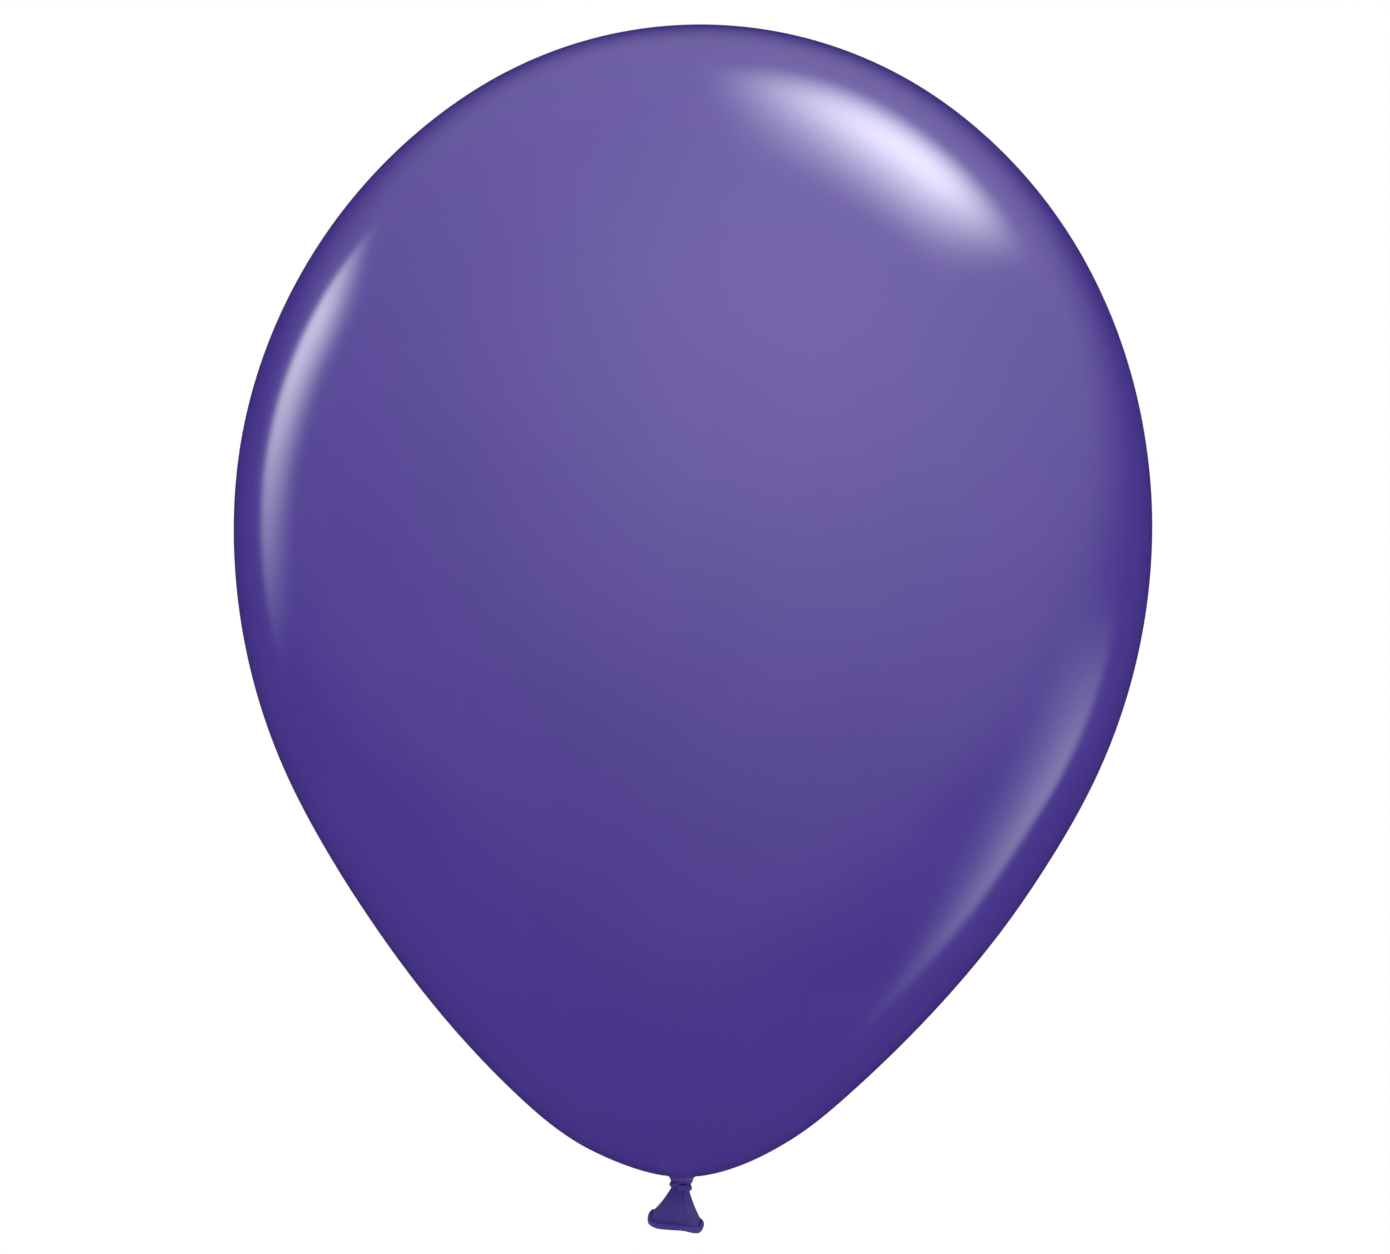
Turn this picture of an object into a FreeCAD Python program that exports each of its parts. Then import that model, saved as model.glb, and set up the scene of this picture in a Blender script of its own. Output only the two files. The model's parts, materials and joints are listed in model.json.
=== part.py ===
"""Latex balloon, inflated and tied in its own neck.

Frame: millimetres, +Z up through the crown, origin in the tie groove just under the envelope, where a
ribbon would be tied. +X is to the right of the front view and -Y faces the viewer.

The balloon is one film of latex. Its regions are modelled as the separate solids below:
envelope, neck_stem, knot_loop, knot_core, tail_stem, tail_skirt and rolled_lip.
Everything under the groove leans by one angle about the origin, because the knot was pulled to one side.
"""

import FreeCAD, Part
import math
import os
import Sketcher

V = FreeCAD.Vector

# Driving dimensions: alias, value in millimetres or degrees, meaning.
SIZES = [
    # Envelope outline, as a chain of tangent arcs from the base to the crown.
    ("film_thickness", 0.4, "stand-in wall; the stretched film is far thinner"),
    ("envelope_base", 1.0, "height of the envelope's lowest point"),
    ("equator_radius", 140.0, "largest radius"),
    ("base_radius", 44.5, "arc at the lower pole"),
    ("base_turn", 17.2, "degrees"),
    ("heel_radius", 83.0, "arc where the base turns up into the flank"),
    ("heel_turn", 23.8, "degrees"),
    ("flank_radius", 345.0, "long, nearly straight flank"),
    ("flank_turn", 18.6, "degrees; the arc after it turns the rest of the way to vertical"),
    ("upper_radius", 159.4, "arc above the equator"),
    ("upper_turn", 51.6, "degrees; the crown arc turns the rest of the way"),
    # Neck and knot.
    ("lean", 8.0, "degrees that the knot and tail lean to -X"),
    ("groove_radius", 3.3, "tie groove"),
    ("neck_flare_radius", 3.7, "neck where it spreads into the base of the envelope"),
    ("neck_top", 0.93, "height of the neck's upper face"),
    ("neck_foot", 0.62, "depth of the neck's lower face under the groove"),
    ("loop_centre_radius", 2.3, "turn of the knot, to the middle of its strand"),
    ("loop_strand_radius", 1.2, "half the thickness of the turn"),
    ("loop_depth", 1.9, "depth of the turn's middle plane"),
    ("knot_gap", 0.08, "space between the turn and the strand through it"),
    ("core_end_radius", 1.5, "strand where it comes out of the turn"),
    # Tail.
    ("stem_top_radius", 2.9, "strand just under the knot"),
    ("stem_top_depth", 3.2, "upper face of that strand"),
    ("stem_foot_radius", 4.3, "where the strand opens into the skirt"),
    ("stem_foot_depth", 6.0, "where the skirt begins"),
    ("seam_gap", 0.05, "space between touching regions"),
    ("skirt_film", 0.6, "gathered, unstretched film"),
    ("skirt_depth", 11.15, "lower edge of the skirt"),
    ("mouth_half_width", 7.65, "mouth, along X, to the middle of the lip"),
    ("mouth_half_depth", 6.2, "mouth, along Y, to the middle of the lip"),
    ("hollow_top_depth", 7.6, "inner end of the open mouth"),
    ("hollow_top_radius", 3.6, "width of the hollow there"),
    ("lip_radius", 1.1, "rolled bead, half its thickness"),
]


def make_sheet(doc):
    """Put every driving dimension in a spreadsheet, one aliased cell each."""
    sheet = doc.addObject("Spreadsheet::Sheet", "Sizes")
    for row, (alias, value, meaning) in enumerate(SIZES, start=1):
        sheet.set(f"A{row}", alias)
        sheet.set(f"B{row}", str(value))
        sheet.set(f"C{row}", meaning)
        sheet.setAlias(f"B{row}", alias)
    doc.recompute()
    return sheet


def origin_plane(body, role):
    """One of a body's own origin planes, found by its role."""
    return next(item for item in body.Origin.OriginFeatures if item.Role == role)


def make_body(doc, label, lean=False):
    """An empty body; one with lean turns about Y through the origin."""
    body = doc.addObject("PartDesign::Body", label)
    body.Label = label
    body.Placement = FreeCAD.Placement(V(0, 0, 0), FreeCAD.Rotation(V(0, 1, 0), 1.0 if lean else 0.0))
    if lean:
        body.setExpression("Placement.Rotation.Angle", "Sizes.lean * 1deg")
    return body


def make_sketch(body, name, role, height=None):
    """A sketch on an origin plane, or raised along the plane's normal by a formula of the sheet's cells."""
    sketch = body.newObject("Sketcher::SketchObject", name)
    sketch.AttachmentSupport = (origin_plane(body, role), [""])
    sketch.MapMode = "FlatFace"
    if height:
        sketch.setExpression("AttachmentOffset.Base.z", height)
    return sketch


def make_leaning_sketch(body, name, depth):
    """A sketch square to the knot's leaning axis, at a depth down that axis from the origin."""
    sketch = make_sketch(body, name, "XY_Plane")
    sketch.AttachmentOffset = FreeCAD.Placement(V(0, 0, 0), FreeCAD.Rotation(V(0, 1, 0), 1.0))
    sketch.setExpression("AttachmentOffset.Rotation.Angle", "Sizes.lean * 1deg")
    sketch.setExpression("AttachmentOffset.Base.x", f"-{depth} * sin(Sizes.lean * 1deg)")
    sketch.setExpression("AttachmentOffset.Base.z", f"-{depth} * cos(Sizes.lean * 1deg)")
    return sketch


def constrain(sketch, kind, *arguments, name=None, formula=None):
    """Add one constraint, and bind its value to a formula of the sheet's cells."""
    index = sketch.addConstraint(Sketcher.Constraint(kind, *arguments))
    if formula:
        sketch.renameConstraint(index, name)
        sketch.setExpression(f"Constraints.{name}", formula)
    return index


# Point positions on a sketch element, and the sketch's own origin and vertical axis.
START, END, CENTRE = 1, 2, 3
ORIGIN = (-1, 1)
V_AXIS = -2

# Most of the skirt's cone that may be left once its mouth is hollow.
MOST_SKIRT_LEFT = 0.8


def circle_section(sketch, size, radius):
    """A circle centred on the sketch's origin, whose radius is one of the sheet's cells."""
    circle = sketch.addGeometry(Part.Circle(V(0, 0, 0), V(0, 0, 1), size[radius]))
    constrain(sketch, "Coincident", circle, CENTRE, *ORIGIN)
    constrain(sketch, "Radius", circle, size[radius], name="radius", formula=f"Sizes.{radius}")
    return sketch


def ellipse_section(body, name, height, half_width, half_depth, start):
    """An ellipse centred on the Z axis in a level plane, wider along X; start gives its first two sizes."""
    wide, deep = start
    sketch = make_sketch(body, name, "XY_Plane", height)
    ellipse = sketch.addGeometry(Part.Ellipse(V(wide, 0, 0), V(0, deep, 0), V(0, 0, 0)))
    sketch.exposeInternalGeometry(ellipse)
    major = ellipse + 1
    minor = ellipse + 2
    constrain(sketch, "Coincident", ellipse, CENTRE, *ORIGIN)
    constrain(sketch, "Horizontal", major)
    constrain(sketch, "Distance", major, 2 * wide, name="width", formula=f"2 * ({half_width})")
    constrain(sketch, "Distance", minor, 2 * deep, name="depth", formula=f"2 * ({half_depth})")
    return sketch


def loft(body, name, sections, subtract=False):
    """A loft through the sections in order."""
    kind = "PartDesign::SubtractiveLoft" if subtract else "PartDesign::AdditiveLoft"
    feature = body.newObject(kind, name)
    feature.Profile = sections[0]
    feature.Sections = sections[1:]
    feature.Ruled = len(sections) == 2
    return feature


def revolve(body, name, sketch):
    """A full turn of a sketch about its own vertical axis."""
    feature = body.newObject("PartDesign::Revolution", name)
    feature.Profile = sketch
    feature.ReferenceAxis = (sketch, ["V_Axis"])
    feature.Angle = 360.0
    return feature


def envelope_arcs(size):
    """Centre, radius and end headings of each outline arc, from the base to the crown.

    A heading is the direction of travel, in radians from +X: 0 at the base, 90 degrees at the equator and
    180 degrees at the crown.
    """
    turns = [size["base_turn"], size["heel_turn"], size["flank_turn"]]
    radii = [size["base_radius"], size["heel_radius"], size["flank_radius"]]
    headings = [0.0]
    for turn in turns:
        headings.append(headings[-1] + math.radians(turn))
    reach = sum(
        radius * (math.sin(after) - math.sin(before))
        for radius, before, after in zip(radii, headings, headings[1:])
    )
    radii.append((size["equator_radius"] - reach) / (1 - math.sin(headings[-1])))
    headings.append(math.pi / 2)

    headings.append(math.pi / 2 + math.radians(size["upper_turn"]))
    radii.append(size["upper_radius"])
    upper_reach = size["upper_radius"] * (1 - math.sin(headings[-1]))
    radii.append((size["equator_radius"] - upper_reach) / math.sin(headings[-1]))
    headings.append(math.pi)

    arcs = []
    x, z = 0.0, size["envelope_base"]
    for radius, before, after in zip(radii, headings, headings[1:]):
        centre = V(x - radius * math.sin(before), z + radius * math.cos(before), 0)
        arcs.append((centre, radius, before, after))
        x = centre.x + radius * math.sin(after)
        z = centre.y - radius * math.cos(after)
    return arcs


def make_envelope(doc, size):
    """The inflated film: a closed shell of revolution with a pear-shaped outline."""
    body = make_body(doc, "envelope")
    sketch = make_sketch(body, "envelope_outline", "XZ_Plane")
    arcs = envelope_arcs(size)
    quarter = math.pi / 2

    def add_chain(offset):
        """Lay the arcs end to end, each inset by the offset; arc angles are a quarter turn behind headings."""
        return [
            sketch.addGeometry(
                Part.ArcOfCircle(
                    Part.Circle(centre, V(0, 0, 1), radius - offset), before - quarter, after - quarter
                )
            )
            for centre, radius, before, after in arcs
        ]

    outer = add_chain(0.0)
    inner = add_chain(size["film_thickness"])
    for chain in (outer, inner):
        for lower, upper in zip(chain, chain[1:]):
            constrain(sketch, "Tangent", lower, END, upper, START)
        constrain(sketch, "PointOnObject", chain[0], START, V_AXIS)
        constrain(sketch, "PointOnObject", chain[-1], END, V_AXIS)
    for outside, inside in zip(outer, inner):
        constrain(sketch, "Coincident", outside, CENTRE, inside, CENTRE)

    base, heel, flank, belly, upper, crown = outer
    constrain(sketch, "PointOnObject", base, CENTRE, V_AXIS)
    constrain(sketch, "PointOnObject", crown, CENTRE, V_AXIS)
    constrain(sketch, "Horizontal", belly, CENTRE, belly, END)
    constrain(sketch, "DistanceY", *ORIGIN, base, START, size["envelope_base"],
              name="base_height", formula="Sizes.envelope_base")
    constrain(sketch, "DistanceX", *ORIGIN, belly, END, size["equator_radius"],
              name="equator", formula="Sizes.equator_radius")
    for name, arc in (("base", base), ("heel", heel), ("flank", flank), ("upper", upper)):
        constrain(sketch, "Radius", arc, size[f"{name}_radius"],
                  name=f"{name}_radius", formula=f"Sizes.{name}_radius")
        constrain(sketch, "Angle", arc, math.radians(size[f"{name}_turn"]),
                  name=f"{name}_turn", formula=f"Sizes.{name}_turn * 1deg")

    poles = []
    for end, index in ((START, 0), (END, -1)):
        outer_point = sketch.getPoint(outer[index], end)
        inner_point = sketch.getPoint(inner[index], end)
        line = sketch.addGeometry(Part.LineSegment(outer_point, inner_point))
        constrain(sketch, "Coincident", line, START, outer[index], end)
        constrain(sketch, "Coincident", line, END, inner[index], end)
        poles.append(line)
    constrain(sketch, "DistanceY", poles[0], START, poles[0], END, size["film_thickness"],
              name="film", formula="Sizes.film_thickness")
    revolve(body, "envelope_shell", sketch)
    return body


def make_neck_stem(doc, size):
    """Gathered neck between the envelope and the knot: level at the top, leaning with the knot below."""
    body = make_body(doc, "neck_stem")
    sections = [
        circle_section(make_sketch(body, "neck_flare", "XY_Plane", "Sizes.neck_top"),
                       size, "neck_flare_radius"),
        circle_section(make_sketch(body, "neck_groove", "XY_Plane"), size, "groove_radius"),
        circle_section(make_leaning_sketch(body, "neck_lower_face", "Sizes.neck_foot"),
                       size, "groove_radius"),
    ]
    loft(body, "neck_loft", sections)
    return body


def make_knot_loop(doc, size):
    """The turn of the overhand knot, drawn up into a ring round the strand."""
    body = make_body(doc, "knot_loop", lean=True)
    sketch = make_sketch(body, "loop_strand", "XZ_Plane")
    centre = V(size["loop_centre_radius"], -size["loop_depth"], 0)
    strand = sketch.addGeometry(Part.Circle(centre, V(0, 0, 1), size["loop_strand_radius"]))
    constrain(sketch, "Radius", strand, size["loop_strand_radius"],
              name="strand", formula="Sizes.loop_strand_radius")
    constrain(sketch, "DistanceX", *ORIGIN, strand, CENTRE, centre.x,
              name="reach", formula="Sizes.loop_centre_radius")
    constrain(sketch, "DistanceY", *ORIGIN, strand, CENTRE, centre.y,
              name="height", formula="-Sizes.loop_depth")
    revolve(body, "loop_ring", sketch)
    return body


def make_knot_core(doc, size):
    """The strand through the turn: a waisted spool that follows the turn's inner side."""
    body = make_body(doc, "knot_core", lean=True)
    sketch = make_sketch(body, "core_outline", "XZ_Plane")
    centre = V(size["loop_centre_radius"], -size["loop_depth"], 0)
    radius = size["loop_strand_radius"] + size["knot_gap"]
    rise = math.sqrt(radius ** 2 - (centre.x - size["core_end_radius"]) ** 2)
    angle = math.atan2(rise, size["core_end_radius"] - centre.x)
    top = V(size["core_end_radius"], centre.y + rise, 0)
    foot = V(size["core_end_radius"], centre.y - rise, 0)
    axis_top = V(0, top.y, 0)
    axis_foot = V(0, foot.y, 0)
    waist = sketch.addGeometry(
        Part.ArcOfCircle(Part.Circle(centre, V(0, 0, 1), radius), angle, 2 * math.pi - angle)
    )
    top_edge = sketch.addGeometry(Part.LineSegment(top, axis_top))
    axis_edge = sketch.addGeometry(Part.LineSegment(axis_top, axis_foot))
    foot_edge = sketch.addGeometry(Part.LineSegment(axis_foot, foot))
    constrain(sketch, "Coincident", waist, START, top_edge, START)
    constrain(sketch, "Coincident", top_edge, END, axis_edge, START)
    constrain(sketch, "Coincident", axis_edge, END, foot_edge, START)
    constrain(sketch, "Coincident", foot_edge, END, waist, END)
    constrain(sketch, "PointOnObject", axis_edge, START, V_AXIS)
    constrain(sketch, "PointOnObject", axis_edge, END, V_AXIS)
    constrain(sketch, "Horizontal", top_edge)
    constrain(sketch, "Horizontal", foot_edge)
    constrain(sketch, "Vertical", waist, START, waist, END)
    constrain(sketch, "Radius", waist, radius,
              name="waist", formula="Sizes.loop_strand_radius + Sizes.knot_gap")
    constrain(sketch, "DistanceX", *ORIGIN, waist, CENTRE, centre.x,
              name="reach", formula="Sizes.loop_centre_radius")
    constrain(sketch, "DistanceY", *ORIGIN, waist, CENTRE, centre.y,
              name="height", formula="-Sizes.loop_depth")
    constrain(sketch, "DistanceX", *ORIGIN, waist, START, size["core_end_radius"],
              name="end_radius", formula="Sizes.core_end_radius")
    revolve(body, "core_spool", sketch)
    return body


def make_tail_stem(doc, size):
    """The strand that leaves the knot and opens towards the skirt."""
    body = make_body(doc, "tail_stem", lean=True)
    sections = [
        circle_section(make_sketch(body, "stem_top", "XY_Plane", "-Sizes.stem_top_depth"),
                       size, "stem_top_radius"),
        circle_section(make_sketch(body, "stem_foot", "XY_Plane", "-Sizes.stem_foot_depth"),
                       size, "stem_foot_radius"),
    ]
    loft(body, "stem_cone", sections)
    return body


def make_tail_skirt(doc, size):
    """The flared free end of the neck, open at the mouth."""
    body = make_body(doc, "tail_skirt", lean=True)
    top_height = "-(Sizes.stem_foot_depth + Sizes.seam_gap)"
    outer = [
        circle_section(make_sketch(body, "skirt_top", "XY_Plane", top_height), size, "stem_foot_radius"),
        ellipse_section(body, "skirt_mouth", "-Sizes.skirt_depth",
                        "Sizes.mouth_half_width", "Sizes.mouth_half_depth",
                        (size["mouth_half_width"], size["mouth_half_depth"])),
    ]
    loft(body, "skirt_cone", outer)
    doc.recompute()
    solid_volume = body.Shape.Volume
    inner = [
        ellipse_section(body, "hollow_mouth", "-Sizes.skirt_depth",
                        "Sizes.mouth_half_width - Sizes.skirt_film",
                        "Sizes.mouth_half_depth - Sizes.skirt_film",
                        (size["mouth_half_width"] - size["skirt_film"],
                         size["mouth_half_depth"] - size["skirt_film"])),
        circle_section(make_sketch(body, "hollow_top", "XY_Plane", "-Sizes.hollow_top_depth"),
                       size, "hollow_top_radius"),
    ]
    loft(body, "skirt_hollow", inner, subtract=True)
    doc.recompute()
    if body.Shape.Volume > MOST_SKIRT_LEFT * solid_volume:
        raise RuntimeError("the skirt's mouth was not cut")
    return body


def make_rolled_lip(doc, size):
    """The bead rolled round the mouth, a ring that follows an ellipse."""
    body = make_body(doc, "rolled_lip", lean=True)
    lip_height = "-(Sizes.skirt_depth + Sizes.seam_gap + Sizes.lip_radius)"
    depth = size["skirt_depth"] + size["seam_gap"] + size["lip_radius"]
    path = ellipse_section(body, "lip_path", lip_height, "Sizes.mouth_half_width",
                           "Sizes.mouth_half_depth",
                           (size["mouth_half_width"], size["mouth_half_depth"]))
    section = make_sketch(body, "lip_section", "XZ_Plane")
    bead_centre = V(size["mouth_half_width"], -depth, 0)
    bead = section.addGeometry(Part.Circle(bead_centre, V(0, 0, 1), size["lip_radius"]))
    constrain(section, "Radius", bead, size["lip_radius"], name="bead", formula="Sizes.lip_radius")
    constrain(section, "DistanceX", *ORIGIN, bead, CENTRE, size["mouth_half_width"],
              name="reach", formula="Sizes.mouth_half_width")
    constrain(section, "DistanceY", *ORIGIN, bead, CENTRE, -depth, name="height", formula=lip_height)
    pipe = body.newObject("PartDesign::AdditivePipe", "lip_ring")
    pipe.Profile = section
    pipe.Spine = (path, ["Edge1"])
    return body


def check_and_export(doc, bodies):
    """Stop on any failed feature or bad solid, then write one STEP file per sub-part."""
    for item in doc.Objects:
        if "Invalid" in item.State or "Error" in item.State:
            raise RuntimeError(f"{item.Label} failed: {item.State}")
    for body in bodies:
        shape = body.Shape
        if shape.isNull() or not shape.isValid() or len(shape.Solids) != 1:
            raise RuntimeError(f"{body.Label} is not one valid solid")
        box = shape.BoundBox
        print(f"{body.Label:12s} volume {shape.Volume:10.2f} mm3"
              f"  x {box.XMin:8.2f} {box.XMax:8.2f}  y {box.YMin:8.2f} {box.YMax:8.2f}"
              f"  z {box.ZMin:8.2f} {box.ZMax:8.2f}")
    os.makedirs("parts", exist_ok=True)
    for body in bodies:
        body.Shape.exportStep(os.path.join("parts", f"{body.Label}.step"))


def main():
    doc = FreeCAD.newDocument("latex_balloon")
    make_sheet(doc)
    size = {alias: value for alias, value, _ in SIZES}
    bodies = [
        make_envelope(doc, size),
        make_neck_stem(doc, size),
        make_knot_loop(doc, size),
        make_knot_core(doc, size),
        make_tail_stem(doc, size),
        make_tail_skirt(doc, size),
        make_rolled_lip(doc, size),
    ]
    doc.recompute()
    check_and_export(doc, bodies)


main()
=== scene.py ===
import json
import math

import bpy
import numpy as np
from mathutils import Matrix, Vector


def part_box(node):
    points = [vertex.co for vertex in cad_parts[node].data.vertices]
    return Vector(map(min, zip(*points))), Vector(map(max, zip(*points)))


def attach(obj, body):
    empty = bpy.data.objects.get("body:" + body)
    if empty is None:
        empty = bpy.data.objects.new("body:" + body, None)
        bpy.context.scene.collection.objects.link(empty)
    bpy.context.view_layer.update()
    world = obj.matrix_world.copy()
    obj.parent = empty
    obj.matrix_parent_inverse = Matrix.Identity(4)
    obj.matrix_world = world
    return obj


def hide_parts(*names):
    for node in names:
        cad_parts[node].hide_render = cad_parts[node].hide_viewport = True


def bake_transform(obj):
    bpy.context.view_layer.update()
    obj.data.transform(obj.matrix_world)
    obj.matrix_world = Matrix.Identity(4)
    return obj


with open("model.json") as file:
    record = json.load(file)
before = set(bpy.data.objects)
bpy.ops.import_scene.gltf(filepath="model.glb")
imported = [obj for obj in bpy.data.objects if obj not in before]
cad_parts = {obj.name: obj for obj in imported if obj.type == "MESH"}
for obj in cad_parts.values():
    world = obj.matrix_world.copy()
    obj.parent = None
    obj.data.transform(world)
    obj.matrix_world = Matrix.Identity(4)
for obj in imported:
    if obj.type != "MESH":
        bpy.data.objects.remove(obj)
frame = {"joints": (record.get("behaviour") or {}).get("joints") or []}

MM = 0.001
TAU = 2 * math.pi
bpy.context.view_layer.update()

# ---------------------------------------------------------------- places read from the frame
envelope_low, envelope_high = (Vector(corner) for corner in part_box("envelope"))
EQUATOR = (envelope_high.x - envelope_low.x) / 2
BASE = envelope_low.z
CROWN = envelope_high.z

joints = {joint["name"]: joint for joint in frame["joints"]}
TIE = Vector(joints["neck_nod"]["pos_m"])
TAIL_PIVOT = Vector(joints["tail_nod"]["pos_m"])
TAIL_AXIS = (TAIL_PIVOT - TIE).normalized()
TAIL_SIDE = Vector(joints["tail_nod"]["axis"]).normalized()
TAIL_BACK = TAIL_AXIS.cross(TAIL_SIDE).normalized()
FRONT_SIGN = 1.0 if TAIL_BACK.y > 0 else -1.0

# ---------------------------------------------------------------- sizes of the soft shapes
# Envelope outline: tangent arcs from the base to the crown, as radius in mm and turn in degrees. The last
# arc turns the rest of the half circle. The curvature is blurred over a length in mm, because stretched film
# has no sudden bend. The radii and turns are rounded from a least-squares fit to the balloon's edge in the
# photograph.
OUTLINE_ARCS = [
    (38.0, 14.4),
    (85.0, 26.4),
    (334.0, 20.2),
    (177.0, 29.0),
    (159.0, 30.0),
    (151.0, 25.0),
    (129.0, None),
]
OUTLINE_BLUR = 15.0

# Points round every ring of the film, and radii and depths under the tie.
AROUND = 216
GROOVE_RADIUS = 3.3 * MM
NECK_JOIN_RADIUS = 4.4 * MM
KNOT_FOOT_DEPTH = 3.1 * MM
NOD_END_DEPTH = 5.4 * MM
HOLLOW_DEPTH = 7.3 * MM
MOUTH_DEPTH = 11.6 * MM
MOUTH_HALF_WIDTH = 8.05 * MM
MOUTH_HALF_DEPTH = 6.5 * MM
LIP_DEPTH = 12.3 * MM
LIP_RADIUS = 1.15 * MM
FILM = 0.45 * MM
SKIRT_TWIST = 0.035 / MM


# ---------------------------------------------------------------- small helpers
def smooth_step(value, low, high):
    """0 below low, 1 above high, and an even S between."""
    share = np.clip((np.asarray(value, float) - low) / (high - low), 0.0, 1.0)
    return share * share * (3 - 2 * share)


def ring_angles(count=AROUND):
    """Even steps round a full turn."""
    return np.linspace(0.0, TAU, count, endpoint=False)


def tube_mesh(name, rings, start_pole, end_pole, rims=()):
    """A closed mesh from rings of points in order, each end closed by a fan to its pole point.

    A rim is the number of a ring where a hidden end begins: the shading breaks there, so that the hidden end
    leaves no line on the visible side.
    """
    rings = np.asarray(rings, float)
    ring_count, around, _ = rings.shape
    points = [tuple(point) for ring in rings for point in ring]
    start = len(points)
    points += [tuple(start_pole), tuple(end_pole)]
    faces = []
    for ring in range(ring_count - 1):
        for step in range(around):
            beside = (step + 1) % around
            low = ring * around
            high = low + around
            faces.append((low + step, low + beside, high + beside, high + step))
    last = (ring_count - 1) * around
    for step in range(around):
        beside = (step + 1) % around
        faces.append((start, beside, step))
        faces.append((start + 1, last + step, last + beside))
    piece = finish_mesh(name, points, faces)
    rim_of = {ring % ring_count for ring in rims}
    for edge in piece.data.edges:
        first, second = (index // around for index in edge.vertices)
        edge.use_edge_sharp = first == second and first in rim_of
    return piece


def loop_mesh(name, rings):
    """A closed mesh from rings of points that join back to the first ring."""
    rings = np.asarray(rings, float)
    ring_count, around, _ = rings.shape
    points = [tuple(point) for ring in rings for point in ring]
    faces = []
    for ring in range(ring_count):
        low = ring * around
        high = ((ring + 1) % ring_count) * around
        for step in range(around):
            beside = (step + 1) % around
            faces.append((low + step, low + beside, high + beside, high + step))
    return finish_mesh(name, points, faces)


def finish_mesh(name, points, faces):
    """Make a smooth-shaded object whose faces all point outwards."""
    mesh = bpy.data.meshes.new(name)
    mesh.from_pydata(points, [], faces)
    mesh.update()
    turn_outwards(mesh)
    mesh.polygons.foreach_set("use_smooth", [True] * len(mesh.polygons))
    piece = bpy.data.objects.new(name, mesh)
    bpy.context.scene.collection.objects.link(piece)
    return piece


def turn_outwards(mesh):
    """Turn the whole shell over if its signed volume is negative."""
    corners = np.array([vertex.co for vertex in mesh.vertices])
    volume = 0.0
    for polygon in mesh.polygons:
        first, *others = [corners[index] for index in polygon.vertices]
        for second, third in zip(others, others[1:]):
            volume += np.dot(first, np.cross(second, third))
    if volume < 0:
        mesh.flip_normals()


# ---------------------------------------------------------------- gathers
def fold_pattern(angle, folds=9):
    """Gathered film seen end-on: rounded ridges with sharp valleys, of uneven width. From -1 to 1."""
    warp = 0.42 * np.sin(angle + 0.7) + 0.26 * np.sin(2 * angle + 2.1)
    wide = np.abs(np.sin(0.5 * folds * angle + warp * 2.0))
    narrow = np.abs(np.sin(0.5 * (folds + 4) * angle + 1.1 - warp))
    return (0.7 * wide + 0.3 * narrow - 0.64) / 0.64


def gathered_ring(depth, radius, folds_height, lean_share=1.0):
    """A ring of points at a depth under the tie, with its folds.

    It stands square to the tail's leaning axis at a lean share of 1, and level at 0.
    """
    angle = ring_angles()
    reach = radius + folds_height * fold_pattern(angle)
    side = TAIL_SIDE.lerp(Vector((1, 0, 0)), 1 - lean_share).normalized()
    axis = TAIL_AXIS.lerp(Vector((0, 0, -1)), 1 - lean_share).normalized()
    back = axis.cross(side).normalized()
    centre = np.array(axis_point(depth))
    return (
        centre
        + np.outer(reach * np.cos(angle), np.array(side))
        + np.outer(reach * np.sin(angle), np.array(back))
    )


def axis_point(depth):
    """A point on the tail's axis at a depth under the tie."""
    return TIE + TAIL_AXIS * depth


# ---------------------------------------------------------------- envelope
def outline_curve(samples=4000):
    """Radius, height and heading along the outline from the base's centre to the crown's."""
    turns = [math.radians(turn) for _, turn in OUTLINE_ARCS[:-1]]
    turns.append(math.pi - sum(turns))
    lengths = [radius * turn for (radius, _), turn in zip(OUTLINE_ARCS, turns)]
    ends = np.cumsum([0.0] + lengths)
    along = np.linspace(0.0, ends[-1], samples)
    step = along[1] - along[0]
    curvature = np.zeros(samples)
    for (radius, _), low, high in zip(OUTLINE_ARCS, ends, ends[1:]):
        curvature[(along >= low) & (along <= high)] = 1.0 / radius
    reach = int(OUTLINE_BLUR / step)
    window = np.hanning(2 * reach + 1)
    curvature = np.convolve(np.pad(curvature, reach, "edge"), window / window.sum(), "valid")
    heading = np.concatenate([[0.0], np.cumsum((curvature[1:] + curvature[:-1]) / 2 * step)])
    heading *= math.pi / heading[-1]
    middle = (heading[1:] + heading[:-1]) / 2
    radius = np.concatenate([[0.0], np.cumsum(np.cos(middle) * step)])
    height = np.concatenate([[0.0], np.cumsum(np.sin(middle) * step)])
    radius -= radius[-1] * along / along[-1]
    radius *= EQUATOR / radius.max()
    height = BASE + height * (CROWN - BASE) / height[-1]
    return radius, height


def lean_of_axis(height):
    """How far the middle of the envelope stands to +X at a height: no real balloon is quite round."""
    low_swing = -1.0 + 1.2 * smooth_step(height, 25 * MM, 85 * MM)
    shoulder_swing = 1.8 * smooth_step(height, 215 * MM, 345 * MM)
    return (low_swing + shoulder_swing) * MM * smooth_step(height, 0.5 * MM, 12 * MM)


FILLET_STEPS = 10
FILLET_OUT, FILLET_UP = 0.25 * MM, 0.15 * MM
FINE_SPACING, COARSE_SPACING = 0.35 * MM, 2.55 * MM
FINE_BELOW = 25 * MM
CROWN_SPACING = 1.2 * MM
CROWN_ZONE = 6 * MM
CROWN_GAP = 0.8 * MM


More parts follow.
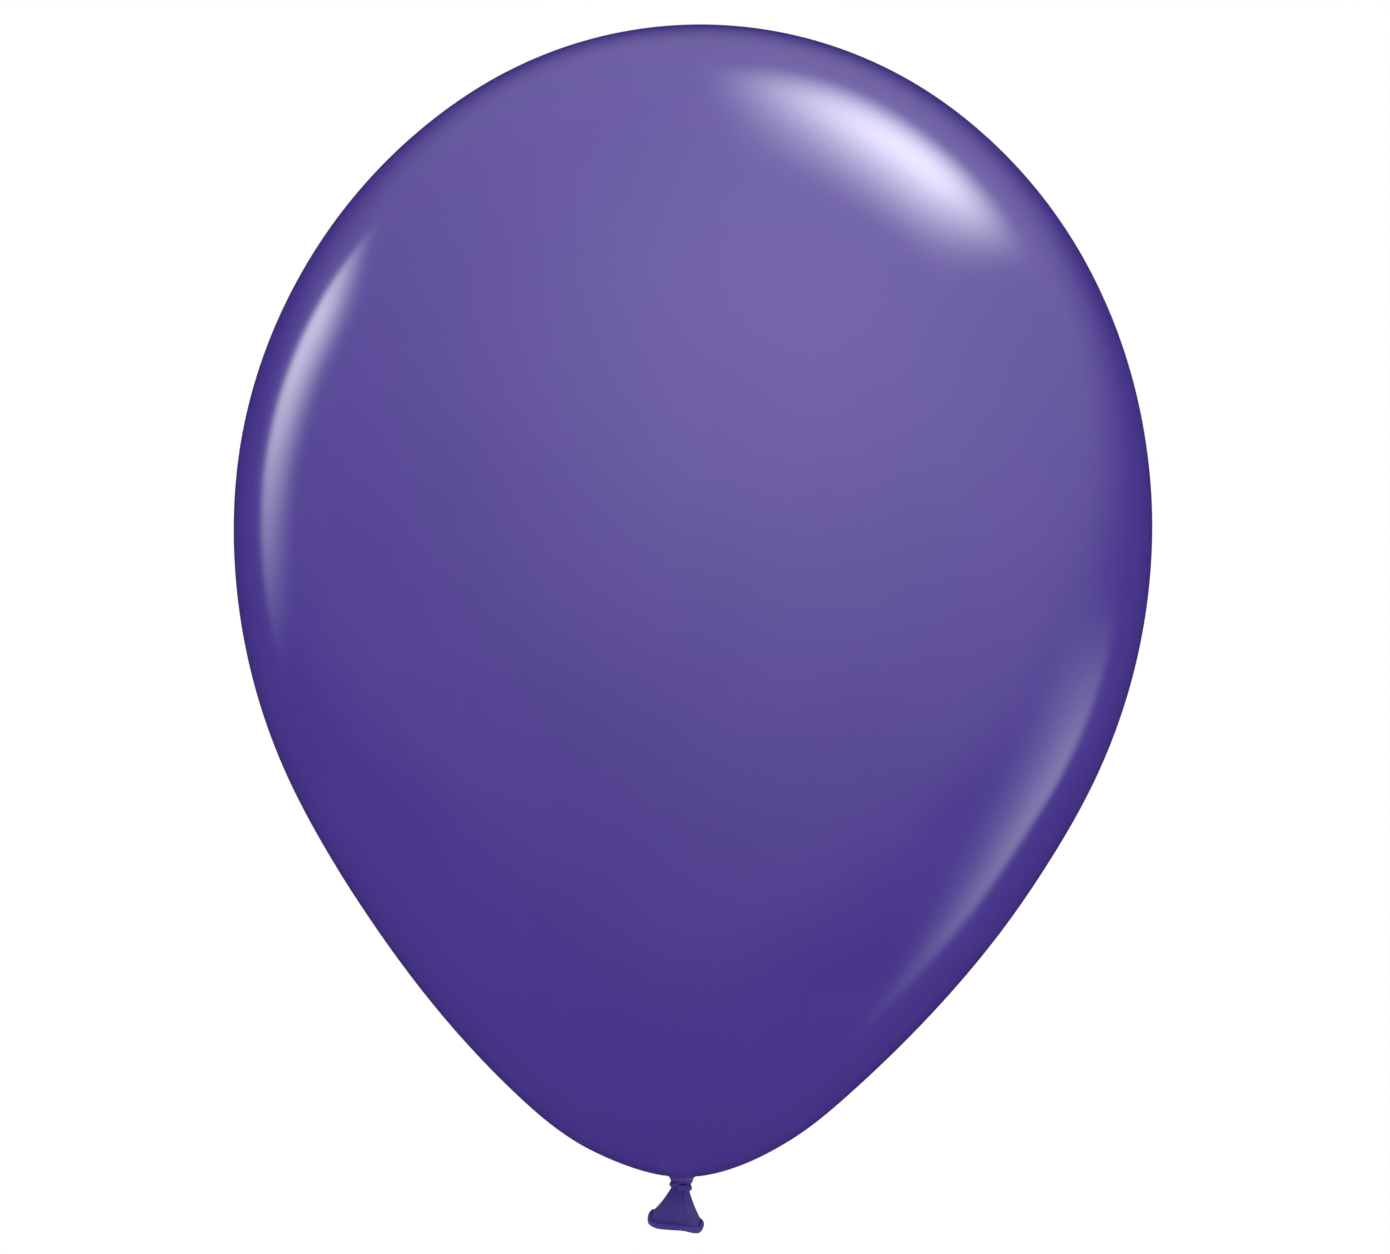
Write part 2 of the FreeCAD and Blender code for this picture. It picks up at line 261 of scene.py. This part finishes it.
def envelope_profile():
    """Radius and height of each ring: up the groove's fillet, then along the outline to the crown."""
    radius, height = outline_curve()
    index = int(np.argmax(radius > NECK_JOIN_RADIUS))
    fillet_start = Vector((GROOVE_RADIUS, TIE.z))
    fillet_corner = Vector((GROOVE_RADIUS + FILLET_OUT, BASE + FILLET_UP))
    fillet_end = Vector((radius[index], height[index]))
    profile = []
    for step in range(FILLET_STEPS):
        share = step / FILLET_STEPS
        spot = (
            fillet_start * (1 - share) ** 2
            + fillet_corner * 2 * share * (1 - share)
            + fillet_end * share ** 2
        )
        profile.append((spot.x, spot.y))
    middle = (BASE + CROWN) / 2
    last = len(radius) - 2
    while index < last and not (radius[index] < CROWN_GAP and height[index] > middle):
        profile.append((radius[index], height[index]))
        coarse_share = float(smooth_step(height[index], BASE, FINE_BELOW))
        spacing = FINE_SPACING + (COARSE_SPACING - FINE_SPACING) * coarse_share
        if height[index] > CROWN - CROWN_ZONE:
            spacing = CROWN_SPACING
        here = index
        while index < last and (
            math.hypot(radius[index] - radius[here], height[index] - height[here]) < spacing
        ):
            index += 1
    return profile


CAP_RADIUS = 0.78 * GROOVE_RADIUS
CAP_RINGS = [(0.4 * CAP_RADIUS, -0.36 * MM), (CAP_RADIUS, -0.28 * MM)]
CAP_POLE_DROP = 0.38 * MM
NECK_FOLDS, NECK_FOLDS_END = 0.32 * MM, 9 * MM
BASE_FOLDS, BASE_FOLDS_START, BASE_FOLDS_END = 0.16 * MM, 4 * MM, 26 * MM
FOLDS_TOP = 60 * MM
UNROUND = 0.0012


def make_envelope():
    """The inflated film, gathered into pleats where it runs down into the tie groove."""
    angle = ring_angles()
    folds = fold_pattern(angle)
    soft_folds = fold_pattern(angle + 0.03, folds=7)
    rings = []
    for ring_radius, drop in CAP_RINGS:
        rings.append(np.column_stack([
            ring_radius * np.cos(angle),
            ring_radius * -np.sin(angle),
            np.full(AROUND, TIE.z + drop),
        ]))
    for ring_radius, ring_height in envelope_profile():
        gathered = float(ring_height <= FOLDS_TOP)
        near_neck = gathered * (1 - smooth_step(ring_radius, GROOVE_RADIUS, NECK_FOLDS_END))
        near_base = gathered * (1 - smooth_step(ring_radius, BASE_FOLDS_START, BASE_FOLDS_END))
        reach = ring_radius + NECK_FOLDS * near_neck * folds
        rise = BASE_FOLDS * near_base * soft_folds * smooth_step(ring_radius, GROOVE_RADIUS, 6 * MM)
        unround = 1 + UNROUND * np.cos(2 * angle + 0.6) * smooth_step(ring_height, 5 * MM, 60 * MM)
        rings.append(np.column_stack([
            lean_of_axis(ring_height) + reach * unround * np.cos(angle),
            reach * unround * -np.sin(angle),
            ring_height - rise,
        ]))
    crown = (float(lean_of_axis(CROWN)), 0.0, CROWN)
    piece = tube_mesh("envelope_skin", rings, (0, 0, TIE.z - CAP_POLE_DROP), crown, rims=[len(CAP_RINGS)])
    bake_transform(piece)
    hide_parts("envelope")
    return piece


# ---------------------------------------------------------------- neck and knot
def make_neck():
    """The gathered strand from the tie groove down through the knot."""
    stations = [  # depth, radius, fold height, share of the lean, all in mm but the last
        (0.00, 3.30, 0.32, 0.0),
        (0.25, 3.22, 0.34, 0.3),
        (0.50, 3.05, 0.34, 0.6),
        (0.80, 2.80, 0.32, 0.9),
        (1.20, 2.45, 0.28, 1.0),
        (1.90, 2.20, 0.20, 1.0),
        (2.60, 2.45, 0.24, 1.0),
        (3.10, 2.75, 0.28, 1.0),
    ]
    hidden_top = [(-0.25, 1.30, 0.0, 0.0), (-0.18, 2.60, 0.0, 0.0)]
    foot = stations[-1][0]
    hidden_foot = [(foot + 0.25, 2.00, 0.0, 1.0)]
    rings = [
        gathered_ring(depth * MM, radius * MM, folds * MM, share)
        for depth, radius, folds, share in hidden_top + stations + hidden_foot
    ]
    top_pole = TIE + Vector((0, 0, 0.28 * MM))
    foot_pole = axis_point((foot + 0.3) * MM)
    piece = tube_mesh("neck_gather", rings, top_pole, foot_pole, rims=[len(hidden_top)])
    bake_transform(piece)
    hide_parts("neck_stem", "knot_core")
    return piece


TURN_STEPS, TURN_AROUND = 150, 40
TURN_HALF_SWEEP = math.radians(235)
TURN_START = 0.35 - math.pi / 2
TURN_RADIUS, TURN_TUCK = 2.32 * MM, 1.15 * MM
TURN_DEPTH, TURN_PITCH = 1.85 * MM, 0.95 * MM
TURN_STRAND, TURN_THINNING = 1.12 * MM, 0.42 * MM
TURN_WRINKLE = 0.055


def make_knot_turn():
    """The turn of the overhand knot: a wrinkled strand wound once round, its ends tucked in behind."""
    section = ring_angles(TURN_AROUND)
    rings = []
    centres = []
    for step in range(TURN_STEPS + 1):
        share = step / TURN_STEPS
        angle = TURN_START + TURN_HALF_SWEEP * (2 * share - 1)
        tuck = float(1 - smooth_step(share, 0.0, 0.22) * (1 - smooth_step(share, 0.78, 1.0)))
        outward = (TAIL_SIDE * math.cos(angle) + TAIL_BACK * math.sin(angle)).normalized()
        depth = TURN_DEPTH + TURN_PITCH * (share - 0.5)
        centre = axis_point(depth) + outward * (TURN_RADIUS - TURN_TUCK * tuck)
        wrinkle = 1 + TURN_WRINKLE * np.sin(5 * section + 2.2 * math.sin(3.1 * angle)) * (1 - 0.5 * tuck)
        squeeze = 1 + 0.05 * math.sin(4 * angle + 1.0)
        strand = (TURN_STRAND - TURN_THINNING * tuck) * wrinkle
        rings.append(
            np.array(centre)
            + np.outer(strand * squeeze * np.cos(section), np.array(outward))
            + np.outer(strand * 1.08 * np.sin(section), np.array(TAIL_AXIS))
        )
        centres.append(centre)
    piece = tube_mesh("knot_turn", rings, centres[0], centres[-1])
    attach(piece, "knot")
    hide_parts("knot_loop")
    return piece


# ---------------------------------------------------------------- tail
# How far past a visible end the hidden closing ring and its pole stand.
END_RING, END_POLE = 0.2 * MM, 0.3 * MM
STRAND_RADIUS = 2.75 * MM
TIGHT_FOLDS, LOOSE_FOLDS, MOUTH_WAVES = 0.42 * MM, 0.17 * MM, 0.35 * MM
MOUTH_SAG, MOUTH_RIPPLE = 1.9 * MM, 0.25 * MM


def skirt_radius(depth):
    """Mean radius of the tail at a depth under the tie."""
    share = (depth - KNOT_FOOT_DEPTH) / (MOUTH_DEPTH - KNOT_FOOT_DEPTH)
    spread = 0.75 + 0.25 * smooth_step(depth, 2.2 * MM, 15.5 * MM)
    return STRAND_RADIUS + (MOUTH_HALF_WIDTH - STRAND_RADIUS) * share * spread


def skirt_ring(depth, inset=0.0):
    """A ring of the skirt: gathers at the knot that open into a few broad waves at an oval mouth."""
    angle = ring_angles()
    open_share = float(smooth_step(depth, 3.5 * MM, MOUTH_DEPTH))
    radius = skirt_radius(depth) - inset
    oval = 1 - (1 - MOUTH_HALF_DEPTH / MOUTH_HALF_WIDTH) * open_share
    tight = TIGHT_FOLDS * (1 - open_share) + LOOSE_FOLDS * open_share
    twisted = angle + SKIRT_TWIST * (depth - KNOT_FOOT_DEPTH)
    waves = MOUTH_WAVES * open_share * (np.sin(3 * angle + 0.5) * 0.6 + np.sin(5 * angle + 2.0) * 0.4)
    reach = radius + tight * fold_pattern(twisted) + waves
    centre = np.array(axis_point(depth))
    drop = mouth_drop(angle) * open_share ** 2
    return (
        centre
        + np.outer(reach * np.cos(angle), np.array(TAIL_SIDE))
        + np.outer(reach * oval * np.sin(angle), np.array(TAIL_BACK))
        + np.outer(drop, np.array(TAIL_AXIS))
    )


def mouth_drop(angle):
    """How much deeper the mouth hangs round its rim: the front sags and the back rides up."""
    front = -np.sin(angle) * FRONT_SIGN
    sag = np.tanh(3.0 * front)
    return MOUTH_SAG * sag * (0.75 + 0.25 * np.sign(sag)) + MOUTH_RIPPLE * np.sin(3 * angle + 1.0)


def make_tail_strand():
    """The strand that leaves the knot, down to the depth where the nod ends."""
    depths = np.linspace(KNOT_FOOT_DEPTH - 0.5 * MM, NOD_END_DEPTH, 9)
    rings = [gathered_ring(depths[0] - END_RING, 1.6 * MM, 0)]
    rings += [skirt_ring(depth) for depth in depths]
    rings.append(skirt_ring(NOD_END_DEPTH + END_RING, inset=0.7 * MM))
    top_pole = axis_point(depths[0] - END_POLE)
    foot_pole = axis_point(NOD_END_DEPTH + END_POLE)
    piece = tube_mesh("tail_strand", rings, top_pole, foot_pole, rims=[-2])
    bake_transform(piece)
    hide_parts("tail_stem")
    return piece


def make_tail_flare():
    """The free end of the neck, a thin pleated funnel open at the mouth."""
    outer_depths = np.linspace(NOD_END_DEPTH, MOUTH_DEPTH, 22)
    inner_depths = np.linspace(MOUTH_DEPTH, HOLLOW_DEPTH + 0.4 * MM, 12)
    rings = [skirt_ring(NOD_END_DEPTH - END_RING, inset=0.8 * MM)]
    rings += [skirt_ring(depth) for depth in outer_depths]
    rings += [skirt_ring(depth, inset=FILM) for depth in inner_depths]
    rings.append(gathered_ring(HOLLOW_DEPTH, 1.5 * MM, 0.2 * MM))
    top_pole = axis_point(NOD_END_DEPTH - END_POLE)
    hollow_pole = axis_point(HOLLOW_DEPTH - 0.1 * MM)
    piece = tube_mesh("tail_flare", rings, top_pole, hollow_pole, rims=[1])
    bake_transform(piece)
    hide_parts("tail_skirt")
    return piece


LIP_AROUND = 28
LIP_STEP, LIP_STEP_ANGLE = 0.10, 2.4


def make_lip():
    """The rolled bead at the mouth: a ring that follows the mouth's waves, with the roll's step inside it."""
    rim = skirt_ring(MOUTH_DEPTH)
    inner_rim = skirt_ring(MOUTH_DEPTH, inset=FILM)
    middle = (rim + inner_rim) / 2 + np.array(TAIL_AXIS) * (LIP_DEPTH - MOUTH_DEPTH)
    section = ring_angles(LIP_AROUND)
    roll = 1 - LIP_STEP * (section / TAU)
    count = len(middle)
    centre = middle.mean(axis=0)
    rings = []
    for index in range(count):
        tangent = middle[(index + 1) % count] - middle[index - 1]
        tangent /= np.linalg.norm(tangent)
        outward = middle[index] - centre
        outward -= tangent * np.dot(outward, tangent)
        outward /= np.linalg.norm(outward)
        down = np.cross(tangent, outward)
        down /= np.linalg.norm(down)
        turn = TAU * index / count
        swell = 1 + 0.04 * math.sin(4 * turn + 0.4) + 0.025 * math.sin(9 * turn)
        reach = LIP_RADIUS * swell * roll
        rings.append(
            middle[index]
            + np.outer(reach * np.cos(section + LIP_STEP_ANGLE), outward)
            + np.outer(reach * np.sin(section + LIP_STEP_ANGLE), down)
        )
    piece = loop_mesh("lip_roll", rings)
    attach(piece, "tail")
    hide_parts("rolled_lip")
    return piece


# ---------------------------------------------------------------- materials
FILM_COLOUR_DEEP = (0.0625, 0.0350, 0.260)
FILM_COLOUR_PALE = (0.0680, 0.0385, 0.273)
FILM_COLOUR_STREAK = (0.0645, 0.0360, 0.264)
FILM_COLOUR_NECK = (0.0595, 0.0325, 0.245)
FILM_ROUGHNESS = (0.11, 0.14)
FILM_IOR = 1.8
NECK_COLOUR_DEEP = (0.042, 0.027, 0.205)
NECK_COLOUR_PALE = (0.060, 0.030, 0.222)
NECK_ROUGHNESS = (0.46, 0.62)
NECK_IOR = 1.5
FLOOR_COLOUR = (0.86, 0.86, 0.87, 1.0)


def new_material(name):
    """A material with its nodes, its links and its shader."""
    material = bpy.data.materials.new(name)
    material.use_nodes = True
    nodes = material.node_tree.nodes
    shader = next(node for node in nodes if node.type == "BSDF_PRINCIPLED")
    return material, nodes, material.node_tree.links, shader


def add_noise(nodes, links, source, scale, detail, stretch=(1, 1, 1)):
    """Noise in the object's own frame; scale is in cells per metre, and stretch scales each axis."""
    mapping = nodes.new("ShaderNodeMapping")
    mapping.inputs["Scale"].default_value = stretch
    noise = nodes.new("ShaderNodeTexNoise")
    noise.inputs["Scale"].default_value = scale
    noise.inputs["Detail"].default_value = detail
    links.new(source, mapping.inputs["Vector"])
    links.new(mapping.outputs["Vector"], noise.inputs["Vector"])
    return noise.outputs["Fac"]


def map_range(nodes, links, source, from_range, to_range):
    """A value moved from one range to another."""
    node = nodes.new("ShaderNodeMapRange")
    node.inputs["From Min"].default_value, node.inputs["From Max"].default_value = from_range
    node.inputs["To Min"].default_value, node.inputs["To Max"].default_value = to_range
    links.new(source, node.inputs["Value"])
    return node.outputs["Result"]


def mix_colour(nodes, links, factor, first, second):
    """Blend two colours, each a tuple or a socket."""
    node = nodes.new("ShaderNodeMix")
    node.data_type = "RGBA"
    links.new(factor, node.inputs["Factor"])
    for name, colour in (("A", first), ("B", second)):
        socket = next(item for item in node.inputs if item.name == name and item.type == "RGBA")
        if isinstance(colour, tuple):
            socket.default_value = (*colour, 1.0)
        else:
            links.new(colour, socket)
    return next(item for item in node.outputs if item.type == "RGBA")


def make_stretched_latex():
    """Inflated film: even violet with faint clouding, denser towards the neck, under a clear gloss."""
    material, nodes, links, shader = new_material("stretched_latex_film")
    place = nodes.new("ShaderNodeTexCoord").outputs["Object"]
    height = nodes.new("ShaderNodeSeparateXYZ")
    links.new(place, height.inputs["Vector"])
    clouds = add_noise(nodes, links, place, 22.0, 3.0)
    streaks = add_noise(nodes, links, place, 60.0, 2.0, (1.0, 1.0, 0.12))
    near_neck = map_range(nodes, links, height.outputs["Z"], (0.0, 0.11), (1.0, 0.0))
    cloud_share = map_range(nodes, links, clouds, (0.35, 0.65), (0.0, 1.0))
    streak_share = map_range(nodes, links, streaks, (0.3, 0.7), (0.0, 0.35))
    colour = mix_colour(nodes, links, cloud_share, FILM_COLOUR_DEEP, FILM_COLOUR_PALE)
    colour = mix_colour(nodes, links, streak_share, colour, FILM_COLOUR_STREAK)
    colour = mix_colour(nodes, links, near_neck, colour, FILM_COLOUR_NECK)
    links.new(colour, shader.inputs["Base Color"])
    links.new(map_range(nodes, links, clouds, (0.3, 0.7), FILM_ROUGHNESS), shader.inputs["Roughness"])
    shader.inputs["IOR"].default_value = FILM_IOR
    fine = add_noise(nodes, links, place, 900.0, 3.0)
    bump = nodes.new("ShaderNodeBump")
    bump.inputs["Strength"].default_value = 0.02
    bump.inputs["Distance"].default_value = 0.1 * MM
    links.new(fine, bump.inputs["Height"])
    links.new(bump.outputs["Normal"], shader.inputs["Normal"])
    return material


def make_relaxed_latex():
    """Unstretched film at the neck, knot and tail: thicker, so deeper in colour, with fine creases."""
    material, nodes, links, shader = new_material("relaxed_latex_film")
    place = nodes.new("ShaderNodeTexCoord").outputs["Object"]
    patches = add_noise(nodes, links, place, 420.0, 4.0)
    creases = add_noise(nodes, links, place, 2600.0, 3.0, (1.0, 1.0, 0.25))
    patch_share = map_range(nodes, links, patches, (0.3, 0.7), (0.0, 1.0))
    colour = mix_colour(nodes, links, patch_share, NECK_COLOUR_DEEP, NECK_COLOUR_PALE)
    links.new(colour, shader.inputs["Base Color"])
    links.new(map_range(nodes, links, patches, (0.3, 0.7), NECK_ROUGHNESS), shader.inputs["Roughness"])
    shader.inputs["IOR"].default_value = NECK_IOR
    shader.inputs["Specular IOR Level"].default_value = 0.2
    bump = nodes.new("ShaderNodeBump")
    bump.inputs["Strength"].default_value = 0.5
    bump.inputs["Distance"].default_value = 0.08 * MM
    links.new(creases, bump.inputs["Height"])
    links.new(bump.outputs["Normal"], shader.inputs["Normal"])
    return material


# ---------------------------------------------------------------- camera, light and floor
FRAME_WIDTH = 424.4 * MM
CAMERA_ROLL = math.radians(-0.944)
CAMERA_DISTANCE = 3.0
CAMERA_AIM = Vector((1.3 * MM, 0.0, 168.9 * MM))
LIT_CENTRE = Vector((0.0, 0.0, 0.18))
FLOOR_HEIGHT = -0.55
FLOOR_RADIUS = 3.2
FLOOR_RINGS, FLOOR_AROUND = 24, 96


def make_camera():
    """A long lens straight in front, level but for a slight roll."""
    data = bpy.data.cameras.new("camera")
    data.sensor_width = 36.0
    data.lens = data.sensor_width * CAMERA_DISTANCE / FRAME_WIDTH
    data.clip_start = 0.1
    data.clip_end = 50.0
    camera = bpy.data.objects.new("camera", data)
    camera.location = CAMERA_AIM + Vector((0, -CAMERA_DISTANCE, 0))
    level = Matrix.Rotation(math.pi / 2, 4, "X")
    camera.matrix_world = Matrix.Translation(camera.location) @ Matrix.Rotation(CAMERA_ROLL, 4, "Y") @ level
    bpy.context.scene.collection.objects.link(camera)
    bpy.context.scene.camera = camera


def light_direction(azimuth, elevation):
    """Unit vector to a light: azimuth 0 is towards the viewer and 90 towards +X, in degrees."""
    side, rise = math.radians(azimuth), math.radians(elevation)
    return Vector((
        math.sin(side) * math.cos(rise), -math.cos(side) * math.cos(rise), math.sin(rise)
    ))


# Radiances are relative: 1 shows as white. The ambient light has a mean, and slopes along +Y and +Z.
KEY_AZIMUTH, KEY_ELEVATION = 20, 18
KEY_DISTANCE = 1.6
KEY_SIZE = 1.4
KEY_RADIANCE = 0.20
AMBIENT = 1.30
AMBIENT_BEHIND = 0.27
AMBIENT_ABOVE = 0.23

# The gloss sees a broad glow, brightest round this direction, with a deep violet cloth behind the balloon.
# All but the two colours and the top right window's radiance, here and in WINDOWS, is rounded from a
# least-squares fit to the photograph's colours.
GLOW_AZIMUTH, GLOW_ELEVATION = 28, 46
GLOW_GAIN, GLOW_BASE = 0.245, 0.125
GLOW_COLOUR = (1.08, 0.98, 1.0)
CLOTH_START, CLOTH_END = 0.26, 0.82
CLOTH_LEAN = 0.8
CLOTH_COLOUR = (0.024, 0.014, 0.095)

# Soft windows that the gloss shows as highlights. Directions are in degrees. Half sizes and edge softness are
# tangents of angles, and the softness is given for the left, right, lower and upper edges.
WINDOWS = {
    "top_right": dict(
        azimuth=129.5, elevation=53, roll=-33, half_width=0.17, half_height=0.26, radiance=6.9,
        softness=(0.38, 0.20, 0.17, 0.29),
    ),
    "left_strip": dict(
        azimuth=-131, elevation=14, roll=1, half_width=0.115, half_height=0.19, radiance=2.6,
        softness=(0.04, 0.155, 0.30, 0.09),
    ),
    "right_strip": dict(
        azimuth=130, elevation=-23, roll=-3.5, half_width=0.105, half_height=0.205, radiance=1.22,
        softness=(0.40, 0.05, 0.20, 0.16),
    ),
}


def make_key_light():
    """A soft front light that shapes the diffuse colour. The gloss doesn't show it."""
    data = bpy.data.lights.new("key_front", "AREA")
    data.shape = "DISK"
    data.size = KEY_SIZE
    data.energy = KEY_RADIANCE * math.pi * math.pi * (KEY_SIZE / 2) ** 2
    lamp = bpy.data.objects.new("key_front", data)
    toward = light_direction(KEY_AZIMUTH, KEY_ELEVATION)
    lamp.location = LIT_CENTRE + toward * KEY_DISTANCE
    lamp.rotation_euler = toward.to_track_quat("Z", "Y").to_euler()
    lamp.visible_camera = False
    lamp.visible_glossy = False
    bpy.context.scene.collection.objects.link(lamp)


def combine(nodes, links, operation, first, second):
    """A maths node on two values, each a number or a socket."""
    node = nodes.new("ShaderNodeMath")
    node.operation = operation
    for socket, value in zip(node.inputs, (first, second)):
        if isinstance(value, (int, float)):
            socket.default_value = value
        else:
            links.new(value, socket)
    return node.outputs["Value"]


def along(nodes, links, ray, direction):
    """How far a ray points along a direction."""
    node = nodes.new("ShaderNodeVectorMath")
    node.operation = "DOT_PRODUCT"
    links.new(ray, node.inputs[0])
    node.inputs[1].default_value = direction
    return node.outputs["Value"]


def soft_edge(nodes, links, value, start, end):
    """0 before start, 1 after end, and a smooth S between; start may be the larger."""
    node = nodes.new("ShaderNodeMapRange")
    node.interpolation_type = "SMOOTHSTEP"
    node.inputs["From Min"].default_value = min(start, end)
    node.inputs["From Max"].default_value = max(start, end)
    node.inputs["To Min"].default_value = float(start > end)
    node.inputs["To Max"].default_value = float(start < end)
    links.new(value, node.inputs["Value"])
    return node.outputs["Result"]


def make_window(nodes, links, ray, azimuth, elevation, roll, half_width, half_height, radiance, softness):
    """The light of one soft-edged window, as the gloss sees it in the direction of a ray."""
    facing = light_direction(azimuth, elevation)
    across = Vector((math.cos(math.radians(azimuth)), math.sin(math.radians(azimuth)), 0))
    across.rotate(Matrix.Rotation(math.radians(roll), 3, facing))
    rise = facing.cross(across)
    toward = along(nodes, links, ray, facing)
    shade = soft_edge(nodes, links, toward, 0.02, 0.10)
    toward = combine(nodes, links, "MAXIMUM", toward, 0.01)
    left, right, low, high = softness
    sides = ((across, half_width, left, right), (rise, half_height, low, high))
    for direction, half, before, after in sides:
        place = combine(nodes, links, "DIVIDE", along(nodes, links, ray, direction), toward)
        entry = soft_edge(nodes, links, place, -half - before, -half + before)
        leave = soft_edge(nodes, links, place, half + after, half - after)
        shade = combine(nodes, links, "MULTIPLY", shade, combine(nodes, links, "MULTIPLY", entry, leave))
    return combine(nodes, links, "MULTIPLY", shade, radiance)


def make_glossy_light(nodes, links, ray, axes):
    """The colour of the studio as the gloss sees it: a glow, the cloth behind and the windows."""
    glow = along(nodes, links, ray, light_direction(GLOW_AZIMUTH, GLOW_ELEVATION))
    glow = combine(nodes, links, "ADD", glow, 1.0)
    glow = combine(nodes, links, "POWER", glow, 2.0)
    glow = combine(nodes, links, "MULTIPLY", glow, GLOW_GAIN)
    glow = combine(nodes, links, "ADD", glow, GLOW_BASE)
    lift = combine(nodes, links, "MULTIPLY", axes.outputs["Z"], CLOTH_LEAN)
    behind = combine(nodes, links, "SUBTRACT", axes.outputs["Y"], lift)
    glow = combine(nodes, links, "MULTIPLY", glow, soft_edge(nodes, links, behind, CLOTH_END, CLOTH_START))
    total = 0.0
    for window in WINDOWS.values():
        total = combine(nodes, links, "ADD", total, make_window(nodes, links, ray, **window))
    cloth = soft_edge(nodes, links, behind, CLOTH_START, CLOTH_END)
    for colour, strength in ((GLOW_COLOUR, glow), (CLOTH_COLOUR, cloth)):
        layer = nodes.new("ShaderNodeVectorMath")
        layer.operation = "MULTIPLY_ADD"
        layer.inputs[0].default_value = colour
        links.new(strength, layer.inputs[1])
        links.new(total, layer.inputs[2])
        total = layer.outputs["Vector"]
    return total


def make_world():
    """White to the camera. Diffuse surfaces get an even ambient light, and the gloss its own soft studio."""
    world = bpy.data.worlds.new("studio")
    bpy.context.scene.world = world
    world.use_nodes = True
    world.cycles.sampling_method = "NONE"
    nodes = world.node_tree.nodes
    links = world.node_tree.links
    nodes.clear()
    ray = nodes.new("ShaderNodeTexCoord").outputs["Generated"]
    axes = nodes.new("ShaderNodeSeparateXYZ")
    links.new(ray, axes.inputs["Vector"])
    path = nodes.new("ShaderNodeLightPath")
    ambient = combine(nodes, links, "MULTIPLY", axes.outputs["Y"], AMBIENT_BEHIND)
    above = combine(nodes, links, "MULTIPLY", axes.outputs["Z"], AMBIENT_ABOVE)
    ambient = combine(nodes, links, "ADD", combine(nodes, links, "ADD", ambient, above), AMBIENT)
    glossy = make_glossy_light(nodes, links, ray, axes)
    lit = nodes.new("ShaderNodeBackground")
    links.new(mix_colour(nodes, links, path.outputs["Is Glossy Ray"], ambient, glossy), lit.inputs["Color"])
    seen = nodes.new("ShaderNodeBackground")
    seen.inputs["Color"].default_value = (1, 1, 1, 1)
    mix = nodes.new("ShaderNodeMixShader")
    links.new(path.outputs["Is Camera Ray"], mix.inputs["Fac"])
    links.new(lit.outputs["Background"], mix.inputs[1])
    links.new(seen.outputs["Background"], mix.inputs[2])
    output = nodes.new("ShaderNodeOutputWorld")
    links.new(mix.outputs["Shader"], output.inputs["Surface"])


def make_floor():
    """A plain pale floor, well below the balloon. From underneath it is clear, so it hides nothing."""
    points = [(0, 0, FLOOR_HEIGHT)]
    faces = []
    for ring in range(1, FLOOR_RINGS + 1):
        for step in range(FLOOR_AROUND):
            turn = TAU * step / FLOOR_AROUND
            reach = FLOOR_RADIUS * ring / FLOOR_RINGS
            points.append((reach * math.cos(turn), reach * math.sin(turn), FLOOR_HEIGHT))
    for step in range(FLOOR_AROUND):
        faces.append((0, 1 + step, 1 + (step + 1) % FLOOR_AROUND))
    for ring in range(FLOOR_RINGS - 1):
        low = 1 + ring * FLOOR_AROUND
        high = low + FLOOR_AROUND
        for step in range(FLOOR_AROUND):
            beside = (step + 1) % FLOOR_AROUND
            faces.append((low + step, high + step, high + beside, low + beside))
    mesh = bpy.data.meshes.new("floor")
    mesh.from_pydata(points, [], faces)
    floor = bpy.data.objects.new("floor", mesh)
    bpy.context.scene.collection.objects.link(floor)
    material, nodes, links, shader = new_material("pale_floor")
    shader.inputs["Base Color"].default_value = FLOOR_COLOUR
    shader.inputs["Roughness"].default_value = 0.9
    clear = nodes.new("ShaderNodeBsdfTransparent")
    side = nodes.new("ShaderNodeNewGeometry").outputs["Backfacing"]
    mix = nodes.new("ShaderNodeMixShader")
    output = next(node for node in nodes if node.type == "OUTPUT_MATERIAL")
    links.new(side, mix.inputs["Fac"])
    links.new(shader.outputs["BSDF"], mix.inputs[1])
    links.new(clear.outputs["BSDF"], mix.inputs[2])
    links.new(mix.outputs["Shader"], output.inputs["Surface"])
    mesh.materials.append(material)
    floor.visible_glossy = False
    floor.visible_diffuse = False


# ---------------------------------------------------------------- put it together
make_camera()
make_key_light()
make_world()
make_floor()
bpy.context.scene.view_settings.view_transform = "Standard"

stretched_latex = make_stretched_latex()
relaxed_latex = make_relaxed_latex()
make_envelope().data.materials.append(stretched_latex)
for make_piece in (make_neck, make_knot_turn, make_tail_strand, make_tail_flare, make_lip):
    make_piece().data.materials.append(relaxed_latex)
